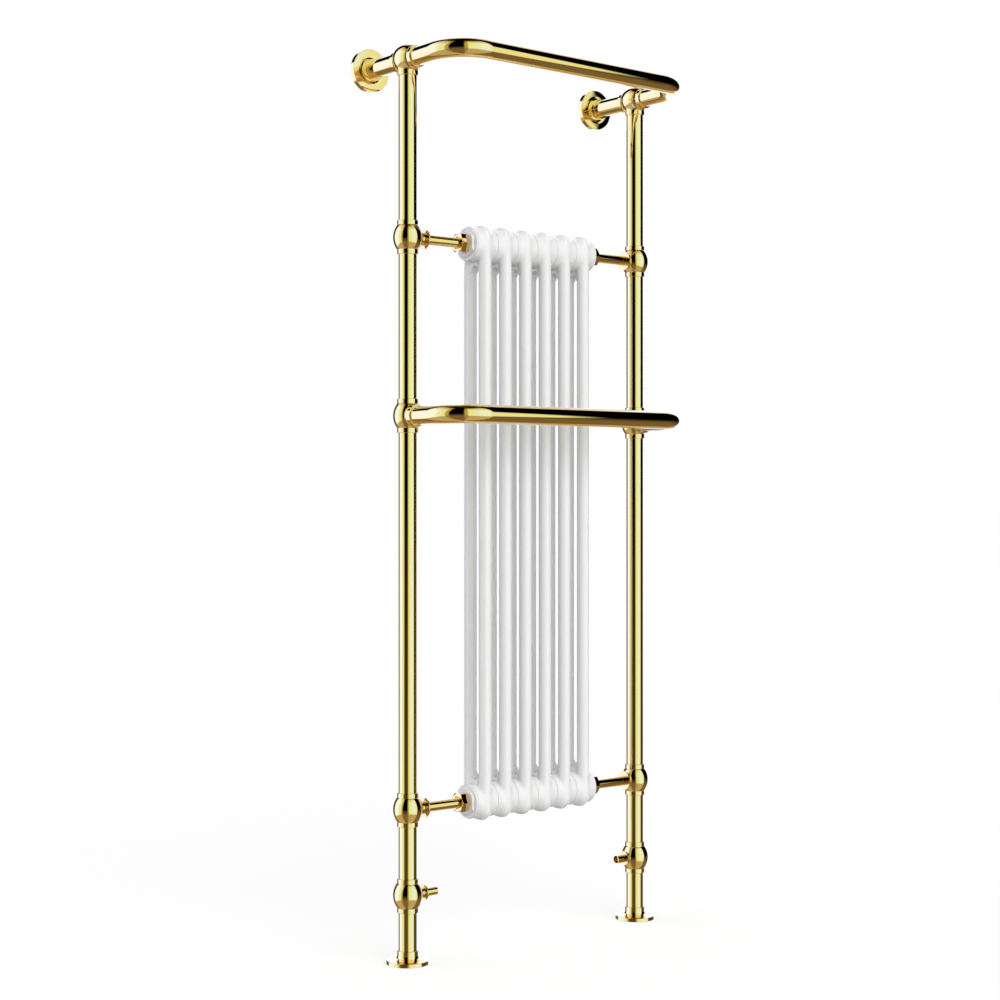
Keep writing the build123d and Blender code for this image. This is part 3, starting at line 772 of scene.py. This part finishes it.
floor_half = 60.0
floor_mesh = bpy.data.meshes.new("floor")
floor_mesh.from_pydata([(-floor_half, -floor_half, -0.0002), (floor_half, -floor_half, -0.0002),
                        (floor_half, floor_half, -0.0002), (-floor_half, floor_half, -0.0002)],
                       [], [(0, 1, 2, 3)])
floor_mesh.materials.append(pale_floor())
floor = bpy.data.objects.new("floor", floor_mesh)
floor.visible_glossy = False
bpy.context.scene.collection.objects.link(floor)


wall_white, wall_black = (1.0, 1.0, 1.0), (0.0, 0.0, 0.0)
wall_bright = (1.2, 1.1, 1.4)
wall_cream, wall_pale = (0.96, 0.93, 0.54), (0.94, 0.95, 0.78)
wall_straw = (1.0, 0.86, 0.50)
wall_amber, wall_dim = (0.54, 0.36, 0.13), (0.10, 0.07, 0.04)
walls = ((14, wall_dim), (20, wall_bright), (78, wall_bright), (84, wall_black), (138.2, wall_black),
         (139.2, wall_straw), (144, wall_straw), (149, wall_white), (172, wall_white), (184, wall_pale), (198, wall_cream), (206, wall_cream),
         (211, wall_amber), (216, wall_amber), (219.5, wall_black), (255, wall_black), (259, wall_amber),
         (264, wall_amber), (271, wall_cream), (285, wall_pale), (300, wall_bright), (334, wall_bright),
         (338, wall_dim))
high_walls = tuple((bearing, wall_black if paint == wall_dim else paint) for bearing, paint in walls)
lamp_tint = (0.86, 1.11, 1.28, 1)
ceiling = ((0.62, wall_white), (0.71, (0.93, 0.82, 0.62)), (0.82, (0.82, 0.60, 0.40)),
           (0.90, (0.40, 0.28, 0.16)), (0.94, wall_black))
floor_pale = (0.62, 0.40, 0.20, 1)
floor_dark = (0.22, 0.12, 0.05, 1)
floor_line = -0.36
floor_full = -0.46
fill_light = (0.57, 0.57, 0.57, 1)
lamps = (((-0.09, -0.97, 0.22), (3.8, 3.8, 3.8, 1)), ((-0.75, 0.62, 0.22), (1.45, 1.45, 1.45, 1)))
lamp_spread = 0.7


def studio():
    """Surroundings by direction. For the metal: a ring of walls by compass bearing, darker towards the
    ceiling, and a brown floor that starts at the horizon under the black walls and lower down under
    the pale ones. White for the camera. For plain surfaces: a soft light with two lamps in it, one
    in front and one behind on the left."""
    world = bpy.data.worlds.new("studio")
    bpy.context.scene.world = world
    room = fresh_tree(world)
    direction = room.node("ShaderNodeTexCoord", {}, {})
    east, north, height = (room.node("ShaderNodeSeparateXYZ", {}, {0: direction}, axis) for axis in range(3))
    turn = east.worked("ARCTAN2", east, north) * (0.5 / math.pi)
    low_wall, high_wall = (
        room.node("ShaderNodeValToRGB", {"stops": [(bearing / 360, paint) for bearing, paint in ring]},
                  {0: turn.worked("FRACT", turn)}) for ring in (walls, high_walls))
    wall = room.mixed(room.node("ShaderNodeMapRange", {}, {0: height, 1: 0.35, 2: 0.5}), low_wall, high_wall)
    shade = room.node("ShaderNodeValToRGB", {"stops": ceiling}, {0: height})
    upper = room.node("ShaderNodeMix", {"data_type": "RGBA", "blend_type": "MULTIPLY"},
                      {0: 1.0, 6: wall, 7: shade}, 2)
    paleness = room.node("ShaderNodeSeparateColor", {}, {0: wall}, 1)
    lower = room.mixed(paleness, floor_dark, floor_pale)
    rise = room.node("ShaderNodeMapRange", {}, {0: height, 1: floor_full, 2: paleness * floor_line,
                                                3: 0.0, 4: 1.0})
    mirrored = room.node("ShaderNodeMix", {"data_type": "RGBA", "blend_type": "MULTIPLY"},
                         {0: 1.0, 6: room.mixed(rise, lower, upper), 7: lamp_tint}, 2)
    soft = fill_light
    for aim, strength in lamps:
        facing = east * aim[0] + north * aim[1] + height * aim[2]
        share = room.node("ShaderNodeMapRange", {"interpolation_type": "SMOOTHSTEP"},
                          {0: facing, 1: lamp_spread, 2: 1.0, 3: 0.0, 4: 1.0})
        soft = room.mixed(share, soft, strength)
    glossy = room.node("ShaderNodeLightPath", {}, {}, "Is Glossy Ray")
    seen = room.node("ShaderNodeLightPath", {}, {}, "Is Camera Ray")
    shown = room.mixed(seen, room.mixed(glossy, soft, mirrored), (1, 1, 1, 1))
    background = room.node("ShaderNodeBackground", {}, {"Color": shown})
    room.node("ShaderNodeOutputWorld", {}, {"Surface": background})


studio()
